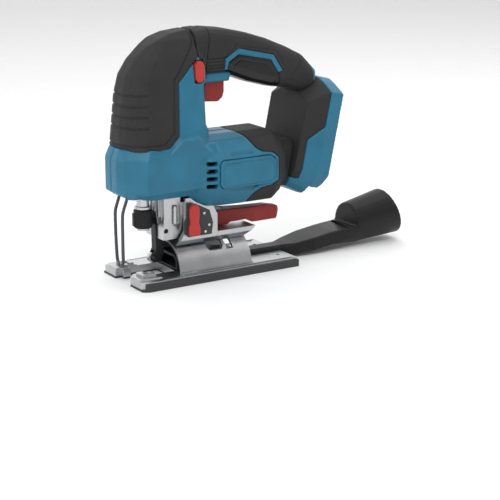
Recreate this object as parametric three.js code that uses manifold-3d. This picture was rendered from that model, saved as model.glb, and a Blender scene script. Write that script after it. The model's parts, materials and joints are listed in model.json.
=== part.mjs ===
// A cordless D-handle jigsaw with its dust adaptor fitted and no battery, as an assembly of
// separate pieces. Millimetres, +Z up. The origin is the middle of the sole that slides on the
// work. -X is the cutting direction, +X the battery end, -Y the tool's left side.
import * as THREE from "three";
import { mergeVertices } from "three/addons/utils/BufferGeometryUtils.js";
import { ConvexGeometry } from "three/addons/geometries/ConvexGeometry.js";
import Module from "manifold-3d";

const wasm = await Module();
wasm.setup();

// ---------- clearances and walls ----------
const GAP = 0.3; // between pieces that touch
const RUN = 0.5; // between pieces that move past each other
const SNUG = 0.15; // round a pin or shaft that turns in its bore
const SKIN = 3; // rubber over the shells
const WALL = 2.6; // moulded shell wall

// ---------- base plate, shoe and tilt cradle ----------
const PLATE_LENGTH = 156;
const PLATE_WIDTH = 78;
const PLATE_TOP = 7.8;
const SHOE_FLOOR = 1.6;
const SHOE_WALL = 2.2;
const SLOT_WIDTH = 15;
const WINDOW_WIDTH = 32;
const RELIEF_RADIUS = 14; // round relief between the two front prongs
const TILT_Z = 5; // height of the bevel axis
const CRADLE_RADIUS = 28.5;
const CRADLE_WALL = 2.5;
const CRADLE_FRONT = -36;
const CRADLE_LENGTH = 71;

// ---------- housing ----------
const BELLY_HALF = 31.5;
const BELLY_BOTTOM = 74;
const BELLY_TOP = 117.5;
const NOSE_X = -87;
const BODY_TOP = 214.5;
const COLUMN_REAR = -8; // rear face of the column between the belly and the handle
const MOTOR_Z = 92;
const MOTOR_HALF = 36;
const MOTOR_RISE = 31;
const MOTOR_DROP = 32.5;
const HANDLE_HALF = 17;
const SCREW_HALF = 10.5;
const SCREW_RADIUS = 2.2;
const VENTS = 4;
const VENT_PITCH = 6.5;
const VENT_HEIGHT = 3.7;

// ---------- battery foot ----------
const FOOT_TILT = 11.8; // degrees that the foot leans back
const FOOT_HALF = 38.4;
const FOOT_FRONT = 60;
const FOOT_STEP = 78; // where the rubber front meets the blue frame
const FOOT_REAR = 91.2;

// ---------- drive ----------
const GEAR_MODULE = 0.75;
const PINION_TEETH = 12;
const GEAR_TEETH = 48;
const GEAR_FACE = 6;
const ECCENTRIC = 13; // half of the 26 mm stroke
const PIN_ANGLE = 60; // degrees from the top of the stroke at rest
const CRANK_RADIUS = 3.4;
const AXLE_RADIUS = 4;
const SHAFT_RADIUS = 3;
const BEARING_OUTER = 8;
const BEARING_WIDTH = 5;
const PLUNGER_X = -57.3;
const PLUNGER_RADIUS = 5.5;
const BUSH_OUTER = 7.6;
const BUSH_LENGTH = 10;
const COLLAR_RADIUS = 8.15;
const COLLAR_BOTTOM = 46;
const COLLAR_TOP = 62.5;
const HUB_WALL_THICK = 6;
const FAN_X = -24;
const FAN_RADIUS = 22;
const STACK_FRONT = -10;
const STACK_REAR = 22;
const ROTOR_RADIUS = 17;
const MAGNET_OUTER = 23.7;
const CAN_OUTER = 26;
const MOTOR_REAR_BEARING = 44;

// ---------- saddle, selector, clamp and pendulum ----------
const SADDLE_HALF = 22;
const SKIRT = 7.8; // keeps the saddle clear of the plate at full bevel
const SELECTOR_X = -21.7;
const SELECTOR_Z = 43.5;
const SELECTOR_PLATE = 1.6;
const SPINDLE = 3;
const CAM_RADIUS = 4.7;
const CLAMP_X = 16;
const CLAMP_SCREW = 2.6;
const LEVER_LOW = 39.5;
const LEVER_HIGH = 53;
const PENDULUM_X = -43.5;
const PENDULUM_Z = 44;
const PENDULUM_PIN = 2;
const PENDULUM_HALF = 4;
const ROLLER_Z = 18.5;
const ROLLER_RADIUS = 4;
const ROLLER_PIN = 1.5;
const GUARD_REAR = -70;
const WIRE_RADIUS = 1.5;

// ---------- dust adaptor ----------
const DUCT_WALL = 1.6;
const DUCT_HALF = 8;
const TUBE_X = 157; // closed front wall of the round socket
const TUBE_Z = 20.5;
const TUBE_RADIUS = 19;
const OUTLET_X = 203.6;
const OUTLET_Z = 26.5;
const OUTLET_RADIUS = 22.6;
const OUTLET_TILT = 18; // degrees that the outlet's rim leans

// ---------- controls ----------
const TRIGGER_REAR = 19.5;
const TRIGGER_HALF = 9;
const LOCK_X = -12.8;
const LOCK_OUT = 24;

// ---------- places worked out from them ----------
const rad = THREE.MathUtils.degToRad;
const FAR = 400;
const GEAR_Z = MOTOR_Z + (GEAR_MODULE * (PINION_TEETH + GEAR_TEETH)) / 2;
const PIN_SIDE = ECCENTRIC * Math.sin(rad(PIN_ANGLE));
const YOKE_Z = GEAR_Z + ECCENTRIC * Math.cos(rad(PIN_ANGLE));
const YOKE_REAR = PLUNGER_X + 6.3;
const GEAR_FRONT = YOKE_REAR + 2;
const GEAR_REAR = GEAR_FRONT + GEAR_FACE;
const HUB_WALL = GEAR_REAR + 1.5; // front of the wall that carries the gear's axle
const UPPER_BUSH = YOKE_Z + ECCENTRIC + 6;
const LOWER_BUSH = BELLY_BOTTOM + 2;
const PLATE_FRONT = -PLATE_LENGTH / 2;
const PLATE_REAR = PLATE_LENGTH / 2;
const PLATE_HALF = PLATE_WIDTH / 2;
const CRADLE_REAR = CRADLE_FRONT + CRADLE_LENGTH;
const NUT_TOP = TILT_Z + CRADLE_RADIUS - CRADLE_WALL - 1.6;
const ROLLER_X = PLUNGER_X + 7.6;
const CORE = SKIN + GAP; // from the outer form to the shell under the rubber
const SELECTOR_FACE = -SADDLE_HALF - GAP;
const LEVER_FACE = SELECTOR_FACE - SELECTOR_PLATE - GAP;
const LOCK_Z = BODY_TOP - 35.5;
const CHUTE_HALF = CRADLE_RADIUS - CRADLE_WALL - 9;
const CHUTE_TOP = CRADLE_RADIUS - CRADLE_WALL - 5;
// Where the foot's front face, carried up, meets the height of the handle's top.
const FOOT_TOP_X = FOOT_FRONT * Math.cos(rad(FOOT_TILT)) + BODY_TOP * Math.sin(rad(FOOT_TILT));
const GRIP_TOP = BODY_TOP - 27.5; // top of the ribbed part of the grip

// ---------- finishes ----------
const finish = (color, roughness, metalness = 0) =>
  new THREE.MeshStandardMaterial({ color, roughness, metalness });
const BLUE = finish(0x3f7591, 0.45);
const CHARCOAL = finish(0x3a3a3a, 0.85);
const BLACK = finish(0x1c1c1e, 0.4);
const DARK_PLASTIC = finish(0x3c3c3e, 0.6);
const RED = finish(0xbe3c37, 0.4);
const CAST_ALUMINIUM = finish(0xb4b7ba, 0.4, 0.9);
const STEEL = finish(0xa9acb0, 0.3, 1);
const DARK_STEEL = finish(0x55585c, 0.4, 1);
const COPPER = finish(0xb06a3c, 0.35, 1);
const BRASS = finish(0xb59a55, 0.35, 1);
const BOARD = finish(0x2e5e3c, 0.6);

// ---------- tools ----------
const root = new THREE.Group();

// A closed geometry as a solid that can be cut and joined.
function solid(geometry) {
  const bare = new THREE.BufferGeometry();
  bare.setAttribute("position", geometry.getAttribute("position"));
  if (geometry.index) bare.setIndex(geometry.index);
  const merged = mergeVertices(bare, 1e-4);
  const source = merged.index.array;
  const kept = [];
  for (let i = 0; i < source.length; i += 3) {
    const [a, b, c] = source.slice(i, i + 3);
    if (a !== b && b !== c && c !== a) kept.push(a, b, c);
  }
  return new wasm.Manifold(
    new wasm.Mesh({
      numProp: 3,
      vertProperties: merged.attributes.position.array,
      triVerts: new Uint32Array(kept),
    }),
  );
}

const join = (...solids) => solids.reduce((all, next) => all.add(next));
const cut = (body, ...tools) => tools.reduce((left, tool) => left.subtract(tool), body);
const both = (...solids) => solids.reduce((all, next) => all.intersect(next));

// The biggest of a solid's separate bodies.
function largest(made) {
  const parts = made.decompose();
  return parts.reduce((best, next) => (next.volume() > best.volume() ? next : best));
}

// Adds a solid to the object as one named piece.
function piece(name, material, made) {
  const m = made.getMesh();
  const geometry = new THREE.BufferGeometry();
  geometry.setAttribute("position", new THREE.BufferAttribute(m.vertProperties, 3));
  geometry.setIndex(new THREE.BufferAttribute(m.triVerts, 1));
  const mesh = new THREE.Mesh(geometry, material);
  mesh.name = name;
  root.add(mesh);
}

const X = new THREE.Vector3(1, 0, 0);
const Y = new THREE.Vector3(0, 1, 0);
const Z = new THREE.Vector3(0, 0, 1);
const lean = new THREE.Matrix4().makeRotationY(rad(FOOT_TILT));
const leaning = (geometry) => solid(geometry.applyMatrix4(lean));

function frameOf(u, v, w, x, y, z) {
  return new THREE.Matrix4().makeBasis(u, v, w).setPosition(x, y, z);
}

// Extrudes an outline. chamfer takes off its two rims over a depth of deep, in a number of
// steps, and inset shrinks the whole solid.
function extrusion(points, depth, { chamfer = 0, deep = chamfer, steps = 1, inset = 0 } = {}) {
  const shape = new THREE.Shape(points.map(([a, b]) => new THREE.Vector2(a, b)));
  const bevel = chamfer > 0 || inset !== 0;
  const size = Math.max(chamfer, 0.01);
  const thick = Math.max(deep, 0.01);
  return new THREE.ExtrudeGeometry(shape, {
    depth: bevel ? depth - 2 * (thick + inset) : depth,
    bevelEnabled: bevel,
    bevelThickness: thick,
    bevelSize: size,
    bevelOffset: -size - inset,
    bevelSegments: steps,
  }).translate(0, 0, bevel ? thick + inset : 0);
}

// An outline in X and Z, from y0 to y1.
function slabY(points, y0, y1, options) {
  const made = extrusion(points, y1 - y0, options);
  return made.applyMatrix4(frameOf(X, Z, Y.clone().negate(), 0, y1, 0));
}
// An outline in Y and Z, from x0 to x1.
function slabX(points, x0, x1, options) {
  return extrusion(points, x1 - x0, options).applyMatrix4(frameOf(Y, Z, X, x0, 0, 0));
}
// An outline in X and Y, from z0 to z1.
function slabZ(points, z0, z1, options) {
  return extrusion(points, z1 - z0, options).translate(0, 0, z0);
}
// An outline in X and Z, right across the tool. grow widens it all round.
const across = (points, grow = 0) => solid(slabY(points, -FAR, FAR, grow ? { inset: -grow } : {}));

function box(x0, x1, y0, y1, z0, z1) {
  const middle = [(x0 + x1) / 2, (y0 + y1) / 2, (z0 + z1) / 2];
  return new THREE.BoxGeometry(x1 - x0, y1 - y0, z1 - z0).translate(...middle);
}
// A round bar between two points.
function bar(radius, from, to, sides = 16) {
  const a = new THREE.Vector3(...from);
  const b = new THREE.Vector3(...to);
  const way = b.clone().sub(a);
  const made = new THREE.CylinderGeometry(radius, radius, way.length(), sides);
  made.applyQuaternion(new THREE.Quaternion().setFromUnitVectors(Y, way.clone().normalize()));
  return made.translate(...a.add(b).multiplyScalar(0.5).toArray());
}
// Round bars along X, Y and Z.
const barX = (radius, x0, x1, y, z, sides) => solid(bar(radius, [x0, y, z], [x1, y, z], sides));
const barY = (radius, y0, y1, x, z, sides) => solid(bar(radius, [x, y0, z], [x, y1, z], sides));
const barZ = (radius, z0, z1, x, y, sides) => solid(bar(radius, [x, y, z0], [x, y, z1], sides));
const ringX = (outer, inner, x0, x1, z, sides = 24) =>
  cut(barX(outer, x0, x1, 0, z, sides), barX(inner, x0 - 1, x1 + 1, 0, z, sides));
const ringZ = (outer, inner, z0, z1, x, sides = 24) =>
  cut(barZ(outer, z0, z1, x, 0, sides), barZ(inner, z0 - 1, z1 + 1, x, 0, sides));

const hull = (points) => new ConvexGeometry(points.map((p) => new THREE.Vector3(...p)));
const mirrored = (half) => [...half, ...half.map(([a, b]) => [a, -b]).reverse()];
const mirroredAcross = (half) => [...half, ...half.map(([a, b]) => [-a, b]).reverse()];
const atX = (x, outline) => outline.map(([y, z]) => [x, y, z]);
const atZ = (z, outline) => outline.map(([x, y]) => [x, y, z]);
const LEFT = solid(box(-FAR, FAR, -FAR, -GAP / 2, -FAR, FAR));
const RIGHT = solid(box(-FAR, FAR, GAP / 2, FAR, -FAR, FAR));

// ---------- outer forms of the housing ----------
// Each takes an inset, so that the skin, the shell and the hollow inside follow one form.
const PALM_PROFILE = [
  [-82.5, BELLY_TOP],
  [-81.5, BELLY_TOP + 20],
  [-78, BODY_TOP - 50],
  [-74.5, BODY_TOP - 36],
  [-65.5, BODY_TOP - 22],
  [-54.5, BODY_TOP - 12.5],
  [-44, BODY_TOP - 6.8],
  [-33, BODY_TOP - 3],
  [-14, BODY_TOP - 0.7],
  [-2, BODY_TOP],
  [-2, BODY_TOP - 40],
  [COLUMN_REAR, BODY_TOP - 47],
  [COLUMN_REAR, BELLY_TOP + 17],
  [COLUMN_REAR + 6, BELLY_TOP + 8],
  [COLUMN_REAR + 6, BELLY_TOP],
];
// Height, nose, half width, and how far back the nose's rounding runs.
const PALM_LEVELS = [
  [BELLY_TOP, -83, 29.5, 1],
  [BODY_TOP - 52, -79, 25, 0.95],
  [BODY_TOP - 36, -75, 23, 0.92],
  [BODY_TOP - 24, -67.5, 20.5, 0.9],
  [BODY_TOP - 8, -52, 14.5, 0.8],
  [BODY_TOP, -40, 7, 0.7],
];
const NOSE_PLAN = [
  [0, 0.22],
  [2.5, 0.5],
  [8, 0.78],
  [16, 0.95],
  [26, 1],
];

function palmForm(inset, drop = 0) {
  const floor = [
    [COLUMN_REAR + 6, BELLY_TOP - drop],
    [-82.5, BELLY_TOP - drop],
  ];
  const profile = drop ? [...PALM_PROFILE, ...floor] : PALM_PROFILE;
  const side = solid(slabY(profile, -FAR, FAR, { inset }));
  const lowest = [BELLY_TOP - drop, ...PALM_LEVELS[0].slice(1)];
  const points = [lowest, ...PALM_LEVELS].flatMap(([z, nose, half, spread]) => {
    const w = half - inset;
    const front = NOSE_PLAN.map(([x, share]) => [nose + inset + x * spread, w * share]);
    return atZ(z, mirrored([...front, [COLUMN_REAR - 5, w * 0.97], [COLUMN_REAR + 4, w * 0.8]]));
  });
  return both(side, solid(hull(points)));
}

function bellyForm(inset) {
  const plan = (z, nose, half) =>
    atZ(z, mirrored([
      [nose + inset, 10],
      [nose + 4 + inset * 0.8, half * 0.56],
      [nose + 19, half - inset],
      [0, half - inset],
    ]));
  return solid(
    hull([
      ...plan(BELLY_BOTTOM + inset, NOSE_X + 11, BELLY_HALF - 8),
      ...plan(BELLY_BOTTOM + 7.5, NOSE_X, BELLY_HALF),
      ...plan(BELLY_TOP - 8.5, NOSE_X, BELLY_HALF),
      ...plan(BELLY_TOP + 1 - inset, NOSE_X + 4, BELLY_HALF - 3),
    ]),
  );
}

// The raised shoulder on each side, where the belly rises to meet the column.
function shoulder() {
  const outline = [
    [-70, BELLY_TOP - 25],
    [-70, BELLY_TOP + 0.5],
    [-48, BELLY_TOP + 0.5],
    [-36.5, BELLY_TOP + 11],
    [-17, BELLY_TOP + 11],
    [0, BELLY_TOP - 5],
    [0, BELLY_TOP - 25],
  ];
  const edge = { chamfer: 5.5, deep: BELLY_HALF - 25 };
  return solid(slabY(outline, -BELLY_HALF, BELLY_HALF, edge));
}

// The motor's barrel: flat sides with facets above and below.
function motorSection(inset, low, scale = 1) {
  const half = MOTOR_HALF - inset;
  const rise = MOTOR_RISE - inset;
  const drop = MOTOR_DROP - inset;
  const flat = SADDLE_HALF + 2.5 - inset; // the underside stays clear of the selector's lever
  const right = [
    [flat * 0.55, -drop],
    [flat, -drop * low],
    [flat + 6.5, -drop * 0.58],
    [half, -drop * 0.36],
    [half, rise * 0.36],
    [half * 0.86, rise * 0.58],
    [half * 0.68, rise * 0.88],
    [half * 0.36, rise],
  ];
  const shape = mirroredAcross(right);
  return shape.map(([y, z]) => [y * scale, MOTOR_Z + z * scale]);
}
function motorForm(inset) {
  const front = motorSection(inset, 0.84);
  const rear = motorSection(inset, 0.93);
  const ends = [
    ...atX(-24 + inset, motorSection(inset, 0.84, 0.8)),
    ...atX(70 - inset, motorSection(inset, 0.93, 0.8)),
  ];
  return solid(hull([...ends, ...atX(-8, front), ...atX(28, rear), ...atX(58, rear)]));
}

const HANDLE_PROFILE = [
  [-26, BODY_TOP - 2],
  [2, BODY_TOP - 0.7],
  [21, BODY_TOP - 3],
  [41, BODY_TOP - 7.5],
  [61, BODY_TOP - 13.8],
  [82, BODY_TOP - 22.5],
  [FOOT_TOP_X - 4.6, BODY_TOP - 30.5],
  [FOOT_TOP_X + 10, BODY_TOP - 45],
  [FOOT_TOP_X + 10, BODY_TOP - 74],
  [96, BODY_TOP - 64.5],
  [80, BODY_TOP - 58.5],
  [61, BODY_TOP - 55.5],
  [41, BODY_TOP - 50],
  [18, BODY_TOP - 41],
  [-26, BODY_TOP - 41],
];
const handleForm = (inset, chamfer = 9, steps = 3) =>
  solid(slabY(HANDLE_PROFILE, -HANDLE_HALF, HANDLE_HALF, { chamfer, steps, inset }));

// The foot's outline across the tool: half width and distance along the lean.
const FOOT_OUTLINE = mirroredAcross([
  [13.2, BODY_TOP - 31.5],
  [22, BODY_TOP - 34.5],
  [FOOT_HALF, BODY_TOP - 42],
  [FOOT_HALF, 99],
  [30, 84],
  [24, 79],
  [16.8, 78],
]);
const FOOT_MIDDLE = 128;
function footForm(inset, front = FOOT_FRONT) {
  const shrink = ([y, s]) => [
    y - Math.sign(y) * inset,
    s - Math.sign(s - FOOT_MIDDLE) * inset,
  ];
  const rear = FOOT_OUTLINE.map(shrink);
  const low = ([y, s]) => [y * 0.75, FOOT_MIDDLE + (s - FOOT_MIDDLE) * (s > FOOT_MIDDLE ? 0.74 : 0.9)];
  const raised = rear.map(([y, z]) => [y, z < 90 ? z + 5 : z]);
  const sections = [
    ...atX(front + inset, rear.map(low)),
    ...atX(FOOT_STEP, rear),
    ...atX(FOOT_REAR - 6, rear),
    ...atX(FOOT_REAR, raised),
  ];
  return leaning(hull(sections));
}

// ---------- borders between coloured pieces, seen from the side ----------
const ABOVE = BODY_TOP + 16;
const BAND_FRONT = [
  [-13.5, ABOVE],
  [-13.5, BODY_TOP - 6],
  [-12, BODY_TOP - 22.5],
];
const PALM_EDGE = [
  [-33.5, BODY_TOP - 43],
  [-36, BELLY_TOP + 9.5],
  [-46.6, BELLY_TOP],
];
const PALM_BORDER = [[-120, ABOVE], ...BAND_FRONT, ...PALM_EDGE, [-120, BELLY_TOP]];
const BAND_REAR = [
  [1.6, ABOVE],
  [0.2, BODY_TOP - 10],
  [-2.4, BODY_TOP - 30],
  [-2.4, 100],
];
// The strip of rubber between the palm grip and the handle grip.
const BAND_LOW = [
  [-4.6, 100],
  [-4.6, BODY_TOP - 31],
];
const GRIP_REAR = [
  [92, ABOVE],
  [96, BODY_TOP - 25],
  [103, BODY_TOP - 35],
  [107, BODY_TOP - 46],
  [109, 100],
];
const GRIP_REGION = [...BAND_REAR, ...[...GRIP_REAR].reverse()];
const BAND_REGION = [...BAND_FRONT, ...[...BAND_LOW].reverse(), ...[...BAND_REAR].reverse()];
const CAP_BORDER = [
  [24, MOTOR_Z + 60],
  [24, MOTOR_Z + 33],
  [31, MOTOR_Z + 28],
  [38, MOTOR_Z + 18],
  [43, MOTOR_Z + 15],
  [53, MOTOR_Z + 13.5],
  [58.5, MOTOR_Z + 8.5],
  [58.5, MOTOR_Z - 11],
  [52, MOTOR_Z - 15.5],
  [43, MOTOR_Z - 17],
  [36, MOTOR_Z - 22],
  [31, MOTOR_Z - 30],
  [31, MOTOR_Z - 60],
  [130, MOTOR_Z - 60],
  [130, MOTOR_Z + 60],
];
const PAD_LINE = [
  [19, BODY_TOP - 30.5],
  [29, BODY_TOP - 24.5],
  [62, BODY_TOP - 31.5],
  [70, BODY_TOP - 43.5],
];
const STRIPE_LINE = [
  [74, BODY_TOP - 42],
  [64.5, BODY_TOP - 27.5],
  [29, BODY_TOP - 19.5],
  [16, BODY_TOP - 27.5],
];
const PAD_REGION = [[19, BODY_TOP - 85], ...PAD_LINE, [76, BODY_TOP - 85]];
const STRIPE_REGION = [[16, BODY_TOP - 37.5], [19, BODY_TOP - 37.5], ...PAD_LINE, ...STRIPE_LINE];

// ---------- base ----------
// The way through the plate for the blade, with a round relief between the prongs.
function slotTool(clear) {
  const w = SLOT_WIDTH / 2 + clear;
  const window = WINDOW_WIDTH / 2 + clear;
  return join(
    solid(box(PLATE_FRONT - 5, -60, -w, w, -5, 30)),
    solid(box(-66 - clear, CRADLE_FRONT + clear, -window, window, -5, 30)),
    barX(RELIEF_RADIUS + clear, PLATE_FRONT - 5, PLATE_FRONT + 5 + clear, 0, TILT_Z, 20),
  );
}
const ductChannel = (clear) =>
  solid(box(CRADLE_REAR - 7, PLATE_REAR + 5, -DUCT_HALF - clear, DUCT_HALF + clear, -5, PLATE_TOP + 1));

const platePlan = (half, end) => [
  [-end, -half + 3.5],
  [-end + 5.5, -half],
  [end, -half],
  [end, half],
  [-end + 5.5, half],
  [-end, half - 3.5],
];

// A raised block on each front prong, and the pad on top of it.
function frontBlocks(end) {
  const low = PLATE_TOP - 1;
  const wide = [
    [SLOT_WIDTH / 2 + 1.5, low],
    [SLOT_WIDTH / 2 + 1.5, PLATE_TOP + 1.2],
    [PLATE_HALF - 10, PLATE_TOP + 1.2],
    [PLATE_HALF - 7, low],
  ];
  const pad = [
    [SLOT_WIDTH / 2 + 5, low],
    [SLOT_WIDTH / 2 + 5, PLATE_TOP + 3.4],
    [PLATE_HALF - 15, PLATE_TOP + 3.4],
    [PLATE_HALF - 13, low],
  ];
  return [-1, 1].flatMap((s) => {
    const turned = (shape) => shape.map(([y, z]) => [s * y, z]);
    const y = s * (PLATE_HALF - 19);
    const block = solid(slabX(turned(wide), -end + 0.5, -end + 22));
    const top = solid(slabX(turned(pad), -end + 6, -end + 19));
    const slot = solid(box(-end + 9, -end + 15, y - 3.5, y + 3.5, PLATE_TOP + 1.8, PLATE_TOP + 9));
    return [cut(join(block, top), slot)];
  });
}

function basePlate() {
  const side = PLATE_HALF - SHOE_WALL - GAP;
  const end = PLATE_REAR - GAP;
  const plate = solid(slabZ(platePlan(side, end), SHOE_FLOOR + GAP, PLATE_TOP));
  const grooves = [-1, 1].map((s) => {
    const y = s * (side - 1.6);
    return solid(box(-end + 22, end + 1, y - 0.8, y + 0.8, PLATE_TOP - 0.8, PLATE_TOP + 1));
  });
  const holes = [-1, 1].map((s) => barZ(1.6, -1, 20, PLATE_REAR - 10, s * (PLATE_HALF - 19), 12));
  const rib = (s) => solid(box(-20, end - 4, s * 33.4 - 0.7, s * 33.4 + 0.7, PLATE_TOP - 1, PLATE_TOP + 0.9));
  const made = join(plate, rib(-1), rib(1), ...frontBlocks(end), tiltCradle());
  const rooms = [slotTool(0), cradleHollow(), ductChannel(GAP), ...grooves, ...holes];
  piece("base_plate", CAST_ALUMINIUM, largest(cut(made, ...rooms)));
}

function soleShoe() {
  const tray = solid(slabZ(platePlan(PLATE_HALF, PLATE_REAR), 0, PLATE_TOP - 1.4));
  const room = PLATE_HALF - SHOE_WALL;
  const hollow = solid(box(PLATE_FRONT - 5, PLATE_REAR + 5, -room, room, SHOE_FLOOR, 20));
  const channels = [-20, 20].map((y) => solid(box(-40, 70, y - 4, y + 4, -1, 0.5)));
  piece("sole_shoe", DARK_PLASTIC, cut(tray, hollow, slotTool(0.6), ...channels));
}

// The hollow half-round hump that the tool tilts on.
function tiltCradle() {
  const low = PLATE_TOP - 1;
  const hump = barX(CRADLE_RADIUS, CRADLE_FRONT, CRADLE_REAR, 0, TILT_Z, 36);
  const wide = CRADLE_RADIUS + 3;
  const flange = solid(box(CRADLE_FRONT, CRADLE_REAR, -wide, wide, low, PLATE_TOP + 1.5));
  const below = solid(box(-FAR, FAR, -FAR, FAR, -FAR, low));
  return cut(join(hump, flange), below);
}

function cradleHollow() {
  const inner = CRADLE_RADIUS - CRADLE_WALL;
  const bore = barX(inner, CRADLE_FRONT - 1, CRADLE_REAR + 1, 0, TILT_Z, 32);
  const above = solid(box(-FAR, FAR, -FAR, FAR, PLATE_TOP, FAR));
  const high = TILT_Z + CRADLE_RADIUS;
  const sideWindow = [
    [-4, high - 11],
    [8, high - 11],
    [10, high - 8.5],
    [10, high - 2],
    [-6, high - 2],
    [-6, high - 8.5],
  ];
  const sweep = [
    [0, TILT_Z],
    [-60, TILT_Z + 45],
    [-60, TILT_Z + 90],
    [60, TILT_Z + 90],
    [60, TILT_Z + 45],
  ];
  const half = CLAMP_SCREW + 0.6;
  const screwSlot = solid(slabX(sweep, CLAMP_X - half, CLAMP_X + half));
  return join(both(bore, above), across(sideWindow), both(screwSlot, above));
}

// The black chute under the hump that leads the chips to the adaptor.
function dustChute() {
  const z0 = PLATE_TOP + GAP;
  const x0 = CRADLE_FRONT + 2;
  const x1 = CLAMP_X - 7;
  const half = CHUTE_HALF;
  const shape = mirroredAcross([[half, z0], [half, CHUTE_TOP - 5], [half - 4, CHUTE_TOP]]);
  const bore = mirroredAcross([[half - 3, z0 - 1], [half - 3, CHUTE_TOP - 6], [half - 6, CHUTE_TOP - 2.5]]);
  const body = solid(slabX(shape, x0, x1));
  const floor = solid(box(x0, x1, -half + 2, half - 2, z0, z0 + 1.5));
  const rib = half + 0.8;
  const ribs = [-6, -1, 4].map((x) => solid(box(x, x + 2, -rib, rib, z0 + 2.9, CHUTE_TOP - 4)));
  piece("dust_chute", BLACK, join(cut(join(body, ...ribs), solid(slabX(bore, -50, 20))), floor));
}

// ---------- dust adaptor ----------
// Sections of the duct: place, half width, bottom and top.
const DUCT = [
  [CLAMP_X - 4, DUCT_HALF + 2, PLATE_TOP + 0.5, 18],
  [CRADLE_REAR - 6, DUCT_HALF, PLATE_TOP + 0.5, 17],
  [CRADLE_REAR + 2, DUCT_HALF, SHOE_FLOOR + 0.8, PLATE_TOP + 4.2],
  [PLATE_REAR + 1, DUCT_HALF, SHOE_FLOOR + 0.8, PLATE_TOP + 4.2],
  [PLATE_REAR + 14, DUCT_HALF + 6, 2.8, 13],
  [PLATE_REAR + 32, 17, 4.6, 16],
  [PLATE_REAR + 54, 17, 7, 19],
];
function dustAdaptor() {
  const section = ([x, half, low, high], t) => {
    const a = half - t;
    const ends = x === DUCT[0][0] ? x + t * -2 : x;
    const top = high - t;
    return atX(ends, mirroredAcross([[a, low + t], [a, top - 1.6], [a - 1.6, top]]));
  };
  const socket = (radius, x) =>
    Array.from({ length: 28 }, (_, i) => {
      const a = (i * Math.PI) / 14;
      return [x, radius * Math.cos(a), TUBE_Z + radius * Math.sin(a)];
    });
  const rim = (radius, past) =>
    Array.from({ length: 28 }, (_, i) => {
      const a = (i * Math.PI) / 14;
      const t = rad(OUTLET_TILT);
      const up = radius * Math.sin(a);
      return [
        OUTLET_X + past - up * Math.sin(t),
        radius * Math.cos(a),
        OUTLET_Z + past * 0.13 + up * Math.cos(t),
      ];
    });
  const duct = (t) => {
    const cuts = DUCT.map((row) => section(row, t));
    const spans = cuts.slice(1).map((next, i) => solid(hull([...cuts[i], ...next])));
    const mouth = socket(TUBE_RADIUS - t, TUBE_X + 6).filter(([, , z]) => z < TUBE_Z + 2);
    return join(...spans, solid(hull([...cuts.at(-1), ...mouth])));
  };
  const t = DUCT_WALL;
  const tube = solid(hull([...socket(TUBE_RADIUS, TUBE_X), ...rim(OUTLET_RADIUS, 0)]));
  const bore = solid(hull([...socket(TUBE_RADIUS - t, TUBE_X + t), ...rim(OUTLET_RADIUS - t, 3)]));
  const floor = solid(box(-FAR, FAR, -FAR, FAR, -FAR, 0.6));
  const edges = solid(box(PLATE_REAR + 40, TUBE_X, -FAR, FAR, 22.5, FAR));
  piece("dust_adaptor", BLACK, largest(cut(join(duct(0), tube), duct(t), bore, floor, edges)));
}

// ---------- gear housing and saddle ----------
const POCKET_FLOOR = 14.4;
const OUTSIDE_LEFT = solid(box(-FAR, FAR, -FAR, -POCKET_FLOOR, -FAR, FAR));
const OUTSIDE_RIGHT = solid(box(-FAR, FAR, POCKET_FLOOR, FAR, -FAR, FAR));

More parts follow.
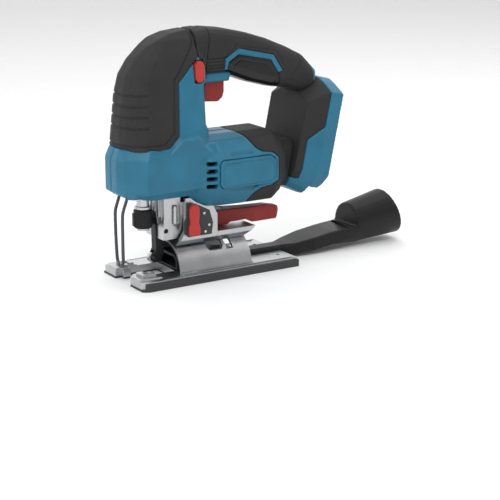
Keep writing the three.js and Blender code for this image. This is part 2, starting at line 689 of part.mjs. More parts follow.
function gearHousing() {
  const wallShape = mirroredAcross([
    [21, BELLY_BOTTOM + 3],
    [21, GEAR_Z + 15.5],
    [12, UPPER_BUSH + BUSH_LENGTH],
  ]);
  const wall = solid(slabX(wallShape, HUB_WALL, HUB_WALL + HUB_WALL_THICK));
  const busy = (z, half) => solid(box(PLUNGER_X - 9, HUB_WALL + 1, -half, half, z, z + BUSH_LENGTH));
  const lower = solid(box(GUARD_REAR + GAP, HUB_WALL + 1, -11, 11, LOWER_BUSH, LOWER_BUSH + BUSH_LENGTH));
  const legShape = mirroredAcross([
    [15, 36],
    [17, 60],
    [17, 68],
  ]);
  const leg = solid(slabX(legShape, -46, -14));
  const neck = solid(box(-46, -30, -17, 17, 60, BELLY_BOTTOM + 6));
  const face = [[-47.5, BELLY_BOTTOM + 4], [-47.5, 60], [-46, 52], [-40, 52], [-40, BELLY_BOTTOM + 4]];
  const front = solid(slabY(face, -13, 13));
  const ribs = [-11, -4, 3, 10].map((y) => solid(box(-48.6, -46, y - 0.5, y + 1.5, 56, BELLY_BOTTOM + 3)));
  const pocket = [[-38.8, 66.8], [-38.8, 50], [-36, 47.5], [-33, 47.5], [-30.4, 50], [-30.4, 66.8]];
  const pockets = [-1, 1].map((s) => both(across(pocket), s < 0 ? OUTSIDE_LEFT : OUTSIDE_RIGHT));
  const slot = solid(box(-52, -38, -PENDULUM_HALF - 0.6, PENDULUM_HALF + 0.6, 30, 60));
  const hinge = barY(PENDULUM_PIN + SNUG, -30, 30, PENDULUM_X, PENDULUM_Z);
  const axle = barX(AXLE_RADIUS + GAP, HUB_WALL - 2, HUB_WALL + 20, 0, GEAR_Z);
  const seat = barX(BEARING_OUTER + GAP, HUB_WALL - 2, HUB_WALL + 20, 0, MOTOR_Z, 24);
  const bushes = [UPPER_BUSH, LOWER_BUSH].map((z) =>
    barZ(BUSH_OUTER + GAP, z - 1, z + BUSH_LENGTH + 1, PLUNGER_X, 0, 24),
  );
  const shaftHole = barY(CAM_RADIUS + RUN, -40, 12, SELECTOR_X, SELECTOR_Z);
  const screw = barZ(CLAMP_SCREW + 0.8, 20, 70, CLAMP_X, 0, 12);
  const drum = barX(CRADLE_RADIUS + RUN, -60, 60, 0, TILT_Z, 36);
  const made = join(wall, busy(UPPER_BUSH, 9), lower, leg, neck, front, ...ribs);
  const rooms = [slot, hinge, axle, seat, ...bushes, shaftHole, screw, drum, ...pockets];
  piece("gear_housing", CAST_ALUMINIUM, cut(made, ...rooms));
}
// The sheet saddle that straddles the hump and carries the selector and the clamp.
function saddle() {
  const side = [
    [-37, 28],
    [-27.5, 43],
    [-27.5, 72],
    [-18, 72],
    [-8, 69],
    [0, 62],
    [8, 47],
    [CRADLE_REAR + 8.2, 38.7],
    [CRADLE_REAR - 3, 28.6],
    [CRADLE_REAR - 7, 28],
  ];
  const body = solid(slabY(side, -SADDLE_HALF, SADDLE_HALF));
  const inside = solid(box(-60, 6, -17.4, 17.4, 20, 90));
  const drum = barX(CRADLE_RADIUS + RUN, -60, 60, 0, TILT_Z, 36);
  const skirt = (s) => {
    const low = TILT_Z + SKIRT;
    return solid(slabX([[0, low], [s * 60, low + 60], [s * 60, -60], [0, -60]], -60, 60));
  };
  const leverRoom = solid(box(CLAMP_X - 12, 60, -FAR, FAR, LEVER_LOW - RUN, 90));
  const screw = barZ(CLAMP_SCREW + GAP, 20, 70, CLAMP_X, 0);
  const spindle = barY(SPINDLE + GAP, -40, 0, SELECTOR_X, SELECTOR_Z);
  const rooms = [inside, drum, leverRoom, screw, spindle, skirt(1), skirt(-1)];
  piece("saddle", CAST_ALUMINIUM, cut(body, ...rooms, bellyForm(-GAP), motorForm(-GAP)));
}

function selector() {
  const plate = [
    [-27, 68],
    [-17, 65.8],
    [-5, 59.5],
    [-1.5, 48],
    [-3, 38],
    [-26, 38],
    [-30, 41.5],
    [-30, 52],
    [-27, 55],
  ];
  const bore = barY(SPINDLE + GAP, SELECTOR_FACE - 5, SELECTOR_FACE + 5, SELECTOR_X, SELECTOR_Z);
  const body = solid(slabY(plate, SELECTOR_FACE - SELECTOR_PLATE, SELECTOR_FACE));
  piece("selector_plate", DARK_PLASTIC, cut(body, bore, motorForm(-GAP), bellyForm(-GAP)));
  const spindle = barY(SPINDLE, LEVER_FACE - 1, 8, SELECTOR_X, SELECTOR_Z);
  const cam = barY(CAM_RADIUS, -8, 8, SELECTOR_X, SELECTOR_Z);
  const flat = solid(box(-60, 0, -7.5, 7.5, 30, SELECTOR_Z - 2.5));
  piece("selector_shaft", DARK_STEEL, cut(join(spindle, cam), flat));
  const half = [
    [4, -4.4],
    [5.4, -2.4],
    [5.4, 2.4],
    [3.9, 7],
    [4.6, 12],
    [4.6, 20],
    [2.6, 23.6],
  ];
  const lever = mirroredAcross(half).map(([dx, dz]) => [SELECTOR_X + dx, SELECTOR_Z + dz]);
  const hole = barY(SPINDLE + GAP, LEVER_FACE - 1.5, LEVER_FACE + 3, SELECTOR_X, SELECTOR_Z);
  const handle = solid(slabY(lever, LEVER_FACE - 4.4, LEVER_FACE, { chamfer: 0.8 }));
  piece("selector_lever", RED, cut(handle, hole));
}

function bevelClamp() {
  const plan = [
    [CLAMP_X - 7, -7],
    [CLAMP_X - 7, 7],
    [CLAMP_X + 4, 8],
    [CLAMP_X + 22, 1],
    [60, -3],
    [73, -5],
    [75, -9],
    [71, -13],
    [48, -13],
    [CLAMP_X + 10, -10],
  ];
  const side = [
    [0, LEVER_HIGH],
    [60, LEVER_HIGH + 0.5],
    [71, LEVER_HIGH - 1.5],
    [76, LEVER_HIGH - 6],
    [70, LEVER_LOW],
    [45, LEVER_LOW],
    [40, LEVER_LOW + 3],
    [CLAMP_X + 8, LEVER_LOW + 2],
    [CLAMP_X + 6, LEVER_LOW],
    [0, LEVER_LOW],
  ];
  const lever = both(solid(slabZ(plan, LEVER_LOW - 9, LEVER_HIGH + 17)), across(side));
  const hole = barZ(CLAMP_SCREW + GAP, 20, 70, CLAMP_X, 0);
  const sink = barZ(5.4, LEVER_HIGH - 4, LEVER_HIGH + 17, CLAMP_X, 0);
  piece("bevel_lever", RED, cut(lever, hole, sink));
  const head = barZ(5, LEVER_HIGH - 4 + GAP, LEVER_HIGH, CLAMP_X, 0);
  const shank = barZ(CLAMP_SCREW, NUT_TOP - 2.5, LEVER_HIGH - 3, CLAMP_X, 0);
  piece("clamp_screw", DARK_STEEL, join(head, shank));
  const nut = solid(box(CLAMP_X - 4.5, CLAMP_X + 4.5, -6, 6, NUT_TOP - 3.5, NUT_TOP));
  piece("clamp_nut", STEEL, cut(nut, barZ(CLAMP_SCREW + GAP, 10, 40, CLAMP_X, 0)));
}

// ---------- drive ----------
// One involute gear outline about its own centre, as [y, z] pairs.
function gearOutline(teeth, phase) {
  const pitch = (GEAR_MODULE * teeth) / 2;
  const base = pitch * Math.cos(rad(20));
  const tip = pitch + GEAR_MODULE;
  const foot = pitch - 1.25 * GEAR_MODULE;
  const involute = (r) => {
    const a = Math.acos(Math.min(1, base / r));
    return Math.tan(a) - a;
  };
  const backlash = 0.22 / pitch;
  const half = Math.PI / (2 * teeth) - backlash / 2;
  const points = [];
  for (let i = 0; i < teeth; i++) {
    const middle = phase + (i * 2 * Math.PI) / teeth;
    const radii = [Math.max(base, foot), pitch, tip];
    const flank = radii.map((r) => [r, half + involute(pitch) - involute(r)]);
    const left = [[foot, flank[0][1]], ...flank];
    left.forEach(([r, w]) => points.push([r * Math.cos(middle - w), r * Math.sin(middle - w)]));
    left
      .reverse()
      .forEach(([r, w]) => points.push([r * Math.cos(middle + w), r * Math.sin(middle + w)]));
  }
  return points.filter(([a, b], i) => {
    const [c, d] = points[(i + 1) % points.length];
    return Math.hypot(a - c, b - d) > 1e-3;
  });
}

// The big gear turns a pin that runs in the plunger's yoke.
function driveGear() {
  const phase = -Math.PI / 2 + Math.PI / GEAR_TEETH;
  const wheel = gearOutline(GEAR_TEETH, phase).map(([y, z]) => [y, z + GEAR_Z]);
  const body = solid(slabX(wheel, GEAR_FRONT, GEAR_REAR));
  const bore = barX(AXLE_RADIUS + SNUG, GEAR_FRONT - 5, GEAR_REAR + 5, 0, GEAR_Z, 20);
  const crank = barX(CRANK_RADIUS, GEAR_FRONT - 1.6, GEAR_FRONT + 1, PIN_SIDE, YOKE_Z);
  const middle = (AXLE_RADIUS + (GEAR_MODULE * GEAR_TEETH) / 2) / 2;
  const turns = [rad(210), rad(330)];
  const holes = turns.map((a) =>
    barX(2.6, GEAR_FRONT - 5, GEAR_REAR + 5, middle * Math.cos(a), GEAR_Z + middle * Math.sin(a), 12),
  );
  piece("drive_gear", STEEL, cut(join(body, crank), bore, ...holes));
  const axle = barX(AXLE_RADIUS, GEAR_FRONT - 0.8, HUB_WALL + HUB_WALL_THICK, 0, GEAR_Z, 20);
  piece("gear_axle", DARK_STEEL, axle);
}

function rotor() {
  const pinion = gearOutline(PINION_TEETH, Math.PI / 2).map(([y, z]) => [y, z + MOTOR_Z]);
  const shaft = barX(SHAFT_RADIUS, GEAR_FRONT - 1, MOTOR_REAR_BEARING + 6, 0, MOTOR_Z);
  piece("rotor_shaft", STEEL, join(solid(slabX(pinion, GEAR_FRONT, GEAR_REAR + 1)), shaft));
  const bore = SHAFT_RADIUS + GAP;
  const core = ringX(ROTOR_RADIUS, bore, STACK_FRONT, STACK_REAR, MOTOR_Z);
  const slots = Array.from({ length: 8 }, (_, i) => {
    const a = (i * Math.PI) / 4;
    const y = ROTOR_RADIUS * Math.cos(a);
    const z = MOTOR_Z + ROTOR_RADIUS * Math.sin(a);
    return barX(1.6, STACK_FRONT - 1, STACK_REAR + 1, y, z, 8);
  });
  piece("rotor_core", DARK_STEEL, cut(core, ...slots));
  piece("commutator", COPPER, ringX(8, bore, STACK_REAR + 4, STACK_REAR + 13, MOTOR_Z, 20));
  const hub = ringX(6, bore, FAN_X, FAN_X + 7, MOTOR_Z, 16);
  const disc = ringX(FAN_RADIUS, bore, FAN_X, FAN_X + 1.6, MOTOR_Z);
  const vanes = Array.from({ length: 9 }, (_, i) => {
    const vane = box(FAN_X + 1, FAN_X + 6, 9, FAN_RADIUS - 0.6, -0.8, 0.8);
    return solid(vane.rotateX((i * 2 * Math.PI) / 9).translate(0, 0, MOTOR_Z));
  });
  piece("cooling_fan", BLACK, join(hub, disc, ...vanes));
}

function motor() {
  const rear = STACK_REAR + 16;
  piece("motor_can", STEEL, ringX(CAN_OUTER, CAN_OUTER - 2, STACK_FRONT - 4, rear, MOTOR_Z, 28));
  const magnets = ringX(MAGNET_OUTER, ROTOR_RADIUS + 1, STACK_FRONT, STACK_REAR, MOTOR_Z, 28);
  [1, -1].forEach((s) => {
    const sector = [[0, 0], [s * 40, 32], [s * 40, -32]].map(([y, z]) => [y, z + MOTOR_Z]);
    const name = s > 0 ? "magnet_right" : "magnet_left";
    piece(name, DARK_STEEL, both(magnets, solid(slabX(sector, -40, 60))));
  });
  const plateRear = MOTOR_REAR_BEARING + BEARING_WIDTH + 1;
  piece("brush_plate", BLACK, ringX(CAN_OUTER, BEARING_OUTER + GAP, rear + GAP, plateRear, MOTOR_Z, 28));
  const bearing = (x) => ringX(BEARING_OUTER, SHAFT_RADIUS + SNUG, x, x + BEARING_WIDTH, MOTOR_Z);
  piece("front_bearing", STEEL, bearing(HUB_WALL));
  piece("rear_bearing", STEEL, bearing(MOTOR_REAR_BEARING));
}

function plunger() {
  const neck = COLLAR_TOP - 4;
  const rod = barZ(PLUNGER_RADIUS, neck, UPPER_BUSH + BUSH_LENGTH + 21, PLUNGER_X, 0, 20);
  const reach = PIN_SIDE + CRANK_RADIUS + 2.3;
  const yoke = solid(box(PLUNGER_X, YOKE_REAR, -reach, reach, YOKE_Z - 7, YOKE_Z + 7));
  const play = CRANK_RADIUS + 0.4;
  const run = reach - 2.6;
  const slot = solid(box(PLUNGER_X + 3, YOKE_REAR + 1, -run, run, YOKE_Z - play, YOKE_Z + play));
  piece("plunger", STEEL, cut(join(rod, yoke), slot));
  const bush = (z) => ringZ(BUSH_OUTER, PLUNGER_RADIUS + SNUG, z, z + BUSH_LENGTH, PLUNGER_X);
  piece("upper_bush", BRASS, bush(UPPER_BUSH));
  piece("lower_bush", BRASS, bush(LOWER_BUSH));
  const holderRadius = PLUNGER_RADIUS + 0.1;
  const holder = barZ(holderRadius, COLLAR_BOTTOM - 2, neck - GAP, PLUNGER_X, 0, 20);
  const bladeSlot = box(PLUNGER_X - 4, PLUNGER_X + 4, -0.8, 0.8, COLLAR_BOTTOM - 3, COLLAR_BOTTOM + 8);
  piece("blade_holder", STEEL, cut(holder, solid(bladeSlot)));
  const inner = holderRadius + GAP;
  const outer = [
    [inner, COLLAR_BOTTOM],
    [COLLAR_RADIUS - 0.8, COLLAR_BOTTOM],
    [COLLAR_RADIUS, COLLAR_BOTTOM + 1],
    [COLLAR_RADIUS, COLLAR_TOP - 1],
    [COLLAR_RADIUS - 0.8, COLLAR_TOP],
    [inner, COLLAR_TOP],
    [inner, COLLAR_BOTTOM],
  ].map(([r, z]) => new THREE.Vector2(r, z));
  const sleeve = new THREE.LatheGeometry(outer, 24).rotateX(Math.PI / 2).translate(PLUNGER_X, 0, 0);
  const nose = PLUNGER_X - COLLAR_RADIUS;
  const wing = solid(box(nose - 1.4, nose + 1.2, -2, 2, COLLAR_BOTTOM + 2, COLLAR_TOP - 3));
  piece("clamp_collar", BLACK, join(solid(sleeve), wing));
  const ring = ringZ(COLLAR_RADIUS - 0.7, PLUNGER_RADIUS + GAP, COLLAR_TOP + GAP, COLLAR_TOP + 2.5, PLUNGER_X);
  piece("collar_ring", STEEL, ring);
}

// The lever that swings the blade forward, and the roller that backs it.
function pendulum() {
  const side = [
    [PENDULUM_X - 4, PENDULUM_Z + 4],
    [PENDULUM_X + 4, PENDULUM_Z + 4],
    [PENDULUM_X + 4, ROLLER_Z + 5.5],
    [PENDULUM_X + 1, ROLLER_Z - 4],
    [ROLLER_X + 0.2, ROLLER_Z - 4.2],
    [ROLLER_X - 1.8, ROLLER_Z],
    [ROLLER_X + 0.2, ROLLER_Z + 3],
    [PENDULUM_X - 3.6, ROLLER_Z + 7.5],
  ];
  const arm = solid(slabY(side, -PENDULUM_HALF, PENDULUM_HALF));
  const pin = barY(PENDULUM_PIN + SNUG, -9, 9, PENDULUM_X, PENDULUM_Z);
  const half = PENDULUM_HALF / 2;
  const rear = ROLLER_X + ROLLER_RADIUS + RUN;
  const fork = solid(box(ROLLER_X - 6, rear, -half - 0.4, half + 0.4, ROLLER_Z - 6, ROLLER_Z + 6));
  const hole = barY(ROLLER_PIN + GAP, -9, 9, ROLLER_X, ROLLER_Z, 12);
  piece("pendulum_lever", BLACK, cut(arm, pin, fork, hole));
  const bore = barY(ROLLER_PIN + SNUG, -9, 9, ROLLER_X, ROLLER_Z, 20);
  piece("guide_roller", STEEL, cut(barY(ROLLER_RADIUS, -half, half, ROLLER_X, ROLLER_Z, 20), bore));
  piece("roller_pin", DARK_STEEL, barY(ROLLER_PIN, -PENDULUM_HALF, PENDULUM_HALF, ROLLER_X, ROLLER_Z));
  piece("pendulum_pin", DARK_STEEL, barY(PENDULUM_PIN, -12, 12, PENDULUM_X, PENDULUM_Z));
}

// The bent wire in front of the blade.
function wireGuard() {
  const half = [
    [-74, 7, 84],
    [-75.5, 7, 76],
    [-80, 6.8, 62.5],
    [-80.3, 6.6, 57],
    [-80.2, 6, 32],
    [-79.8, 4.6, 18],
  ];
  const left = half.map(([x, y, z]) => new THREE.Vector3(x, -y, z));
  const right = half.map(([x, y, z]) => new THREE.Vector3(x, y, z)).reverse();
  const route = new THREE.CatmullRomCurve3(
    [...left, new THREE.Vector3(-79.6, 0, 14.2), ...right],
    false,
    "centripetal",
  );
  const section = new THREE.Shape();
  section.absarc(0, 0, WIRE_RADIUS, 0, 2 * Math.PI);
  const wire = new THREE.ExtrudeGeometry(section, { steps: 48, curveSegments: 4, extrudePath: route });
  const foot = solid(box(GUARD_REAR - 7.5, GUARD_REAR, -9, 9, BELLY_BOTTOM + 8, BELLY_BOTTOM + 12));
  piece("wire_guard", DARK_STEEL, join(solid(wire), foot));
}

// ---------- housing shells ----------
const SCREW_PLACES = [
  [-72, 100],
  [-55, BODY_TOP - 28.5],
  [-24, BODY_TOP - 16.5],
  [-22, BELLY_TOP + 15.5],
  [90, BODY_TOP - 42.5],
];

const cavity = () => {
  const offset = WALL;
  return join(
    bellyForm(offset),
    palmForm(CORE + offset, 14),
    barX(MOTOR_RISE - offset - 1, -30, 62, 0, MOTOR_Z, 28),
    handleForm(CORE + offset, 6, 1),
  );
};
const triggerRoom = () =>
  solid(box(-2, TRIGGER_REAR + 1, -TRIGGER_HALF - 0.6, TRIGGER_HALF + 0.6, 140, BODY_TOP - 30.5));
function triggerLip() {
  const z = BODY_TOP - 47.5;
  const rear = TRIGGER_REAR + 3;
  return solid(slabY([[-4, z], [rear, z], [rear + 2, z + 9], [-4, z + 9]], -13, 13, { chamfer: 1.5 }));
}
// The shallow recesses above and below the label, on both sides.
function labelPockets() {
  const outline = [
    [9, 13.2],
    [14, 18.5],
    [28, 18.5],
    [36, 13.2],
  ];
  const low = outline.map(([x, z]) => [x + (x > 20 ? 4 : 0), -z]).reverse();
  const floor = MOTOR_HALF - 4.2;
  const band = join(solid(box(0, 60, -FAR, -floor, 0, FAR)), solid(box(0, 60, floor, FAR, 0, FAR)));
  return [outline, low].map((shape) => both(across(shape.map(([x, z]) => [x, MOTOR_Z + z])), band));
}

function outerShell() {
  const edge = PALM_BORDER.map(([x, z]) => [x + (x > -100 ? GAP : 0), z]);
  const column = cut(palmForm(0), across(edge), across(BAND_REGION, GAP), across(GRIP_REGION, GAP));
  const handleEnd = cut(handleForm(0), solid(box(-FAR, 80, -FAR, FAR, -FAR, FAR)), across(GRIP_REGION, GAP));
  const handleCore = cut(handleForm(CORE), across(edge));
  const barrel = cut(motorForm(0), across(CAP_BORDER));
  const core = join(column, palmForm(CORE), handleCore, handleEnd, triggerLip());
  return cut(join(bellyForm(0), shoulder(), core, barrel), ...labelPockets());
}

function shells() {
  const outer = outerShell();
  const floorHole = join(
    solid(box(PLUNGER_X - 12.8, -13, -17.5, 17.5, 40, BELLY_BOTTOM + 14)),
    solid(box(GUARD_REAR - 9, GUARD_REAR + 1, -9.6, 9.6, 60, BELLY_BOTTOM + 13)),
  );
  const lockHole = solid(box(LOCK_X - 5, LOCK_X + 5, -40, -9, LOCK_Z - 9.6, LOCK_Z + 9.6));
  const vents = Array.from({ length: VENTS }, (_, i) => {
    const z = MOTOR_Z + (i - VENTS / 2) * VENT_PITCH + 1.4;
    return solid(box(-13, -3, -FAR, FAR, z, z + VENT_HEIGHT));
  });
  const holes = SCREW_PLACES.map(([x, z]) =>
    barY(SCREW_RADIUS + 0.4, -SCREW_HALF - GAP, FAR, x, z, 12),
  );
  const bosses = SCREW_PLACES.map(([x, z]) => both(barY(SCREW_RADIUS + 2.8, -60, 60, x, z, 12), outer));
  const shell = cut(outer, cavity(), floorHole);
  const rooms = [triggerRoom(), lockHole, footForm(-GAP), labelSolid(-1, GAP), labelSolid(1, GAP)];
  const whole = cut(join(shell, ...bosses), ...rooms, ...vents, ...holes);
  piece("left_housing", BLUE, largest(both(whole, LEFT)));
  piece("right_housing", BLUE, largest(both(whole, RIGHT)));
  SCREW_PLACES.forEach(([x, z], i) => {
    piece("housing_screw_" + (i + 1), DARK_STEEL, barY(SCREW_RADIUS, -SCREW_HALF, SCREW_HALF, x, z, 12));
  });
}

// ---------- rubber grips ----------
function palmGrip() {
  const region = both(palmForm(0), across(PALM_BORDER));
  piece("palm_grip", CHARCOAL, largest(cut(region, palmForm(SKIN, 8), bellyForm(-GAP), shoulder())));
  const lockRoom = solid(box(LOCK_X - 6, LOCK_X + 6, -FAR, FAR, LOCK_Z - 10, LOCK_Z + 10));
  const outer = join(both(palmForm(0), solid(box(-60, -2, -FAR, FAR, 0, FAR))), handleForm(0));
  const band = both(outer, across(BAND_REGION));
  const rooms = [palmForm(SKIN), handleForm(SKIN), across(PALM_BORDER, GAP), across(GRIP_REGION, GAP)];
  piece("grip_band", CHARCOAL, largest(cut(band, ...rooms, lockRoom, triggerLip(), triggerRoom())));
}

function handleSkins() {
  const form = cut(handleForm(0), footForm(-GAP), triggerRoom(), triggerLip());
  const outer = both(form, across(GRIP_REGION));
  const skin = cut(outer, handleForm(SKIN));
  const middle = solid(box(-FAR, FAR, -11, 11, -FAR, FAR));
  const pocket = cut(across(STRIPE_REGION, GAP), middle);
  const ribs = Array.from({ length: 5 }, (_, i) => {
    const z = GRIP_TOP - 11 + i * 2.6;
    return cut(solid(box(-4, 14.5, -FAR, FAR, z, z + 0.9)), handleForm(0.9));
  });
  const clear = solid(box(-30, TRIGGER_REAR, -12, 12, 100, BODY_TOP - 37.5));
  const grip = cut(skin, across(PAD_REGION, GAP), pocket, clear, palmForm(0.01), ...ribs);
  piece("handle_grip", CHARCOAL, largest(grip));
  piece("handle_pad", BLACK, largest(cut(both(skin, across(PAD_REGION)), pocket)));
  const inner = solid(box(-FAR, FAR, -11 - GAP, 11 + GAP, -FAR, FAR));
  const inlay = cut(both(outer, across(STRIPE_REGION)), handleForm(1.6), inner);
  piece("handle_inlay_left", BLUE, largest(both(inlay, LEFT)));
  piece("handle_inlay_right", BLUE, largest(both(inlay, RIGHT)));
}

// The rubber cap behind the motor, with the neck that runs into the foot.
function motorCap() {
  const cap = CAP_BORDER.map(([x, z]) => [x + (x < 100 ? GAP : 0), z]);
  const outline = mirroredAcross([
    [17, MOTOR_Z - 22],
    [22, MOTOR_Z - 16],
    [22, MOTOR_Z + 13],
    [17, MOTOR_Z + 19],
  ]);
  const neck = solid(slabX(outline, 55, 100));
  const outer = join(both(motorForm(0), across(cap)), neck);
  const rooms = [
    barX(MOTOR_RISE - WALL - 1, 0, 55, 0, MOTOR_Z, 28),
    barX(12, 50, 110, 0, MOTOR_Z + 4),
    footForm(-GAP),
  ];
  piece("motor_cap", CHARCOAL, largest(cut(outer, ...rooms)));
}

function labelSolid(side, grow) {
  const near = side * (MOTOR_HALF - 3.2 - grow);
  const far = side * (MOTOR_HALF + 1.5 + grow);
  const shape = [
    [-1, 8],
    [1.6, 11.4],
    [49.6, 11.4],
    [55, 7],
    [55, -10],
    [50, -13.4],
    [1.6, -12.4],
    [-1, -9],
  ].map(([x, z]) => [x, MOTOR_Z + z]);
  const options = grow ? { inset: -grow } : { chamfer: 0.8 };
  return solid(slabY(shape, Math.min(near, far), Math.max(near, far), options));
}

// ---------- battery foot ----------
function batteryFoot() {
  const whole = footForm(0);
  const bodyRoom = leaning(box(FOOT_FRONT + 5, FOOT_STEP - 5, -20, 20, 100, BODY_TOP - 62));
  const wires = barX(12 - GAP, 50, 110, 0, MOTOR_Z + 4);
  const handleWay = handleForm(CORE + WALL, 6, 1);
  const black = [
    [FOOT_FRONT - 20, 300],
    [FOOT_FRONT - 20, 93],
    [FOOT_STEP - 12, 93],
    [FOOT_STEP - 12, 128],
    [FOOT_STEP, 142],
    [FOOT_STEP, 300],
  ];
  const rubberRegion = (grow) => {
    const side = slabY(black, -FAR, FAR, grow ? { inset: -grow } : {});
    const front = box(FOOT_FRONT - 20, FOOT_STEP + grow, -27 - grow, 27 + grow, 93 - grow, 300);
    return join(leaning(side), leaning(front));
  };
  piece("battery_foot", CHARCOAL, largest(cut(both(whole, rubberRegion(0)), bodyRoom, wires, handleWay)));
  const pocket = leaning(box(FOOT_STEP - 1, FOOT_REAR + 5, -31, 31, 60, BODY_TOP - 43.5));
  const rails = [-1, 1].map((s) => {
    const y = [s * 27.5, s * 33].sort((a, b) => a - b);
    return leaning(box(FOOT_REAR - 3.4, FOOT_REAR, ...y, 92, BODY_TOP - 46.5));
  });
  const frame = join(cut(whole, rubberRegion(GAP), pocket), ...rails);
  piece("battery_rails", BLUE, largest(frame));
  const top = BODY_TOP - 48.5;
  const block = leaning(box(FOOT_STEP + GAP, FOOT_STEP + 8, -22, 22, 118, top));
  const slots = [-15, -5, 5, 15].map((y) =>
    leaning(box(FOOT_STEP + 2, FOOT_REAR, y - 1, y + 1, 110, top - 6)),
  );
  piece("terminal_block", BLACK, cut(block, ...slots));
  [-15, 15].forEach((y, i) => {
    const blade = box(FOOT_STEP + 2 + GAP, FOOT_REAR - 3, y - 0.5, y + 0.5, 122, top - 8);
    piece(i ? "contact_plus" : "contact_minus", BRASS, leaning(blade));
  });
}

// ---------- controls ----------
function controls() {
  const side = [
    [-1, BODY_TOP - 37.5],
    [-1, BODY_TOP - 64],
    [TRIGGER_REAR - 6, BODY_TOP - 65],
    [TRIGGER_REAR - 1.5, BODY_TOP - 61.5],
    [TRIGGER_REAR, BODY_TOP - 56.5],
    [TRIGGER_REAR, BODY_TOP - 46.5],
    [TRIGGER_REAR - 3, BODY_TOP - 43.5],
    [TRIGGER_REAR - 3, BODY_TOP - 37.5],
  ];
  piece("trigger", RED, solid(slabY(side, -TRIGGER_HALF, TRIGGER_HALF, { chamfer: 1.6, steps: 2 })));
  const high = BODY_TOP - 15.5;
  piece("trigger_switch", BLACK, solid(box(-1, 24, -8, 8, BODY_TOP - 30, high)));
  const capsule = mirrored([
    [-9, 2],
    [-5.6, 4.5],
    [5.6, 4.5],
    [9, 2],
  ]).map(([dz, dx]) => [LOCK_X + dx, LOCK_Z + dz]);
  piece("lock_button", RED, solid(slabY(capsule, -LOCK_OUT, -13, { chamfer: 1.2, steps: 2 })));
  piece("controller_board", BOARD, solid(box(30, 58, -8, 8, BODY_TOP - 34.5, BODY_TOP - 30.5)));
}

basePlate();
soleShoe();
dustChute();
dustAdaptor();
gearHousing();
saddle();
selector();
bevelClamp();
driveGear();
rotor();
motor();
plunger();
pendulum();
wireGuard();
shells();
palmGrip();
handleSkins();
motorCap();
piece("label_plate_left", BLUE, labelSolid(-1, 0));
piece("label_plate_right", BLUE, labelSolid(1, 0));
batteryFoot();
controls();

export default root;
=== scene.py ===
# %% [markdown]
# # A cordless jigsaw with its dust adaptor
#
# This lesson dresses a working model of a jigsaw. The frame holds every part of the tool at its
# true size and place: the casting that slides on the work, the gearing, the shells and the
# levers. The frame is faceted, as a draughtsman's model is. Here each part that can be seen gets
# soft moulded edges, its own small features and a finish. Work goes in millimetres, because that
# is how such a tool is drawn, and each mesh is scaled to metres when its piece is made.
#
# The tool cuts towards -X, its battery end is towards +X, and -Y is its left side.

# %% Load the frame and keep its box
import json
import math

import bmesh
import bpy
from mathutils import Matrix, Vector


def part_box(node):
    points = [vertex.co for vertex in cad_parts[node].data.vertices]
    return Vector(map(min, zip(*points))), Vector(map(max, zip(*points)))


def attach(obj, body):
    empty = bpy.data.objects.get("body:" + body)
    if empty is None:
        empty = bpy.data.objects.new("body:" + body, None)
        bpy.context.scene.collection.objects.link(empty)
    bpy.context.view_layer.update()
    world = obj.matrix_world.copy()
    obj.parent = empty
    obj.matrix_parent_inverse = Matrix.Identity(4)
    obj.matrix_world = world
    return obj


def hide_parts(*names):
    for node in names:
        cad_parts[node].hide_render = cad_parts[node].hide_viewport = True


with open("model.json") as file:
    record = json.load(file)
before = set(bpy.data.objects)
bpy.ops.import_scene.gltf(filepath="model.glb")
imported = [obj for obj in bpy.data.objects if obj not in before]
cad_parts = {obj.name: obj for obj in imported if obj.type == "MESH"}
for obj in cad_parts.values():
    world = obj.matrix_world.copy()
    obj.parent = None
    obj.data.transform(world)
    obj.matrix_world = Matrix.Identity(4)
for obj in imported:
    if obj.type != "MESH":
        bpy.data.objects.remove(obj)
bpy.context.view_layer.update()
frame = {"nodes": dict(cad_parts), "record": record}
MM = 0.001
body_of = {}
for body, names in frame["record"]["behaviour"]["bodies"].items():
    for name in names:
        body_of[name] = body
slot_name = {}

# %% [markdown]
# ## Camera, floor and light
#
# The tool stands on its sole and is seen from its left and a little in front. A short lens close
# by would splay the plate's edges, so a long lens stands well back and keeps them nearly
# parallel. One small lamp would give hard spots on the gloss. Four large soft lamps give the
# broad highlights of a product picture instead. The floor is a plain pale sheet, and a second
# sheet stands far behind it and glows a little, so that the background stays bright.

# %% Make the camera
CAMERA_PLACE = (-0.6501, -1.1141, 0.3779)
LOOK_DOWN, LOOK_ROUND = 15.629, 32.181  # degrees
LENS, SENSOR = 109.35, 36  # millimetres

camera = bpy.data.objects.new("camera", bpy.data.cameras.new("camera"))
camera.location = CAMERA_PLACE
camera.rotation_euler = (math.radians(90 - LOOK_DOWN), 0, math.radians(-LOOK_ROUND))
camera.data.lens = LENS
camera.data.sensor_width = SENSOR
bpy.context.scene.collection.objects.link(camera)
bpy.context.scene.camera = camera
print("camera at", tuple(round(c, 3) for c in camera.location))


# %% Hang the lamps
def lamp(name, location, target, size, power):
    """A square soft lamp, this many metres wide and watts strong, that looks at a point."""
    data = bpy.data.lights.new(name, "AREA")
    data.size, data.energy = size, power
    thing = bpy.data.objects.new(name, data)
    thing.location = location
    thing.rotation_euler = (Vector(target) - Vector(location)).to_track_quat("-Z", "Y").to_euler()
    bpy.context.scene.collection.objects.link(thing)


lamp("key_lamp", (-1.1, -1.2, 1.5), target=(0, 0, 0.1), size=1.1, power=20)
lamp("top_lamp", (0.2, 0.2, 1.8), target=(0, 0, 0.1), size=1.6, power=15)
lamp("rear_lamp", (1.4, -0.5, 0.9), target=(0.05, 0, 0.12), size=1.0, power=8)
lamp("front_lamp", (-1.7, 0.3, 0.6), target=(-0.05, 0, 0.1), size=0.9, power=6)
print(len(bpy.data.lights), "lamps")


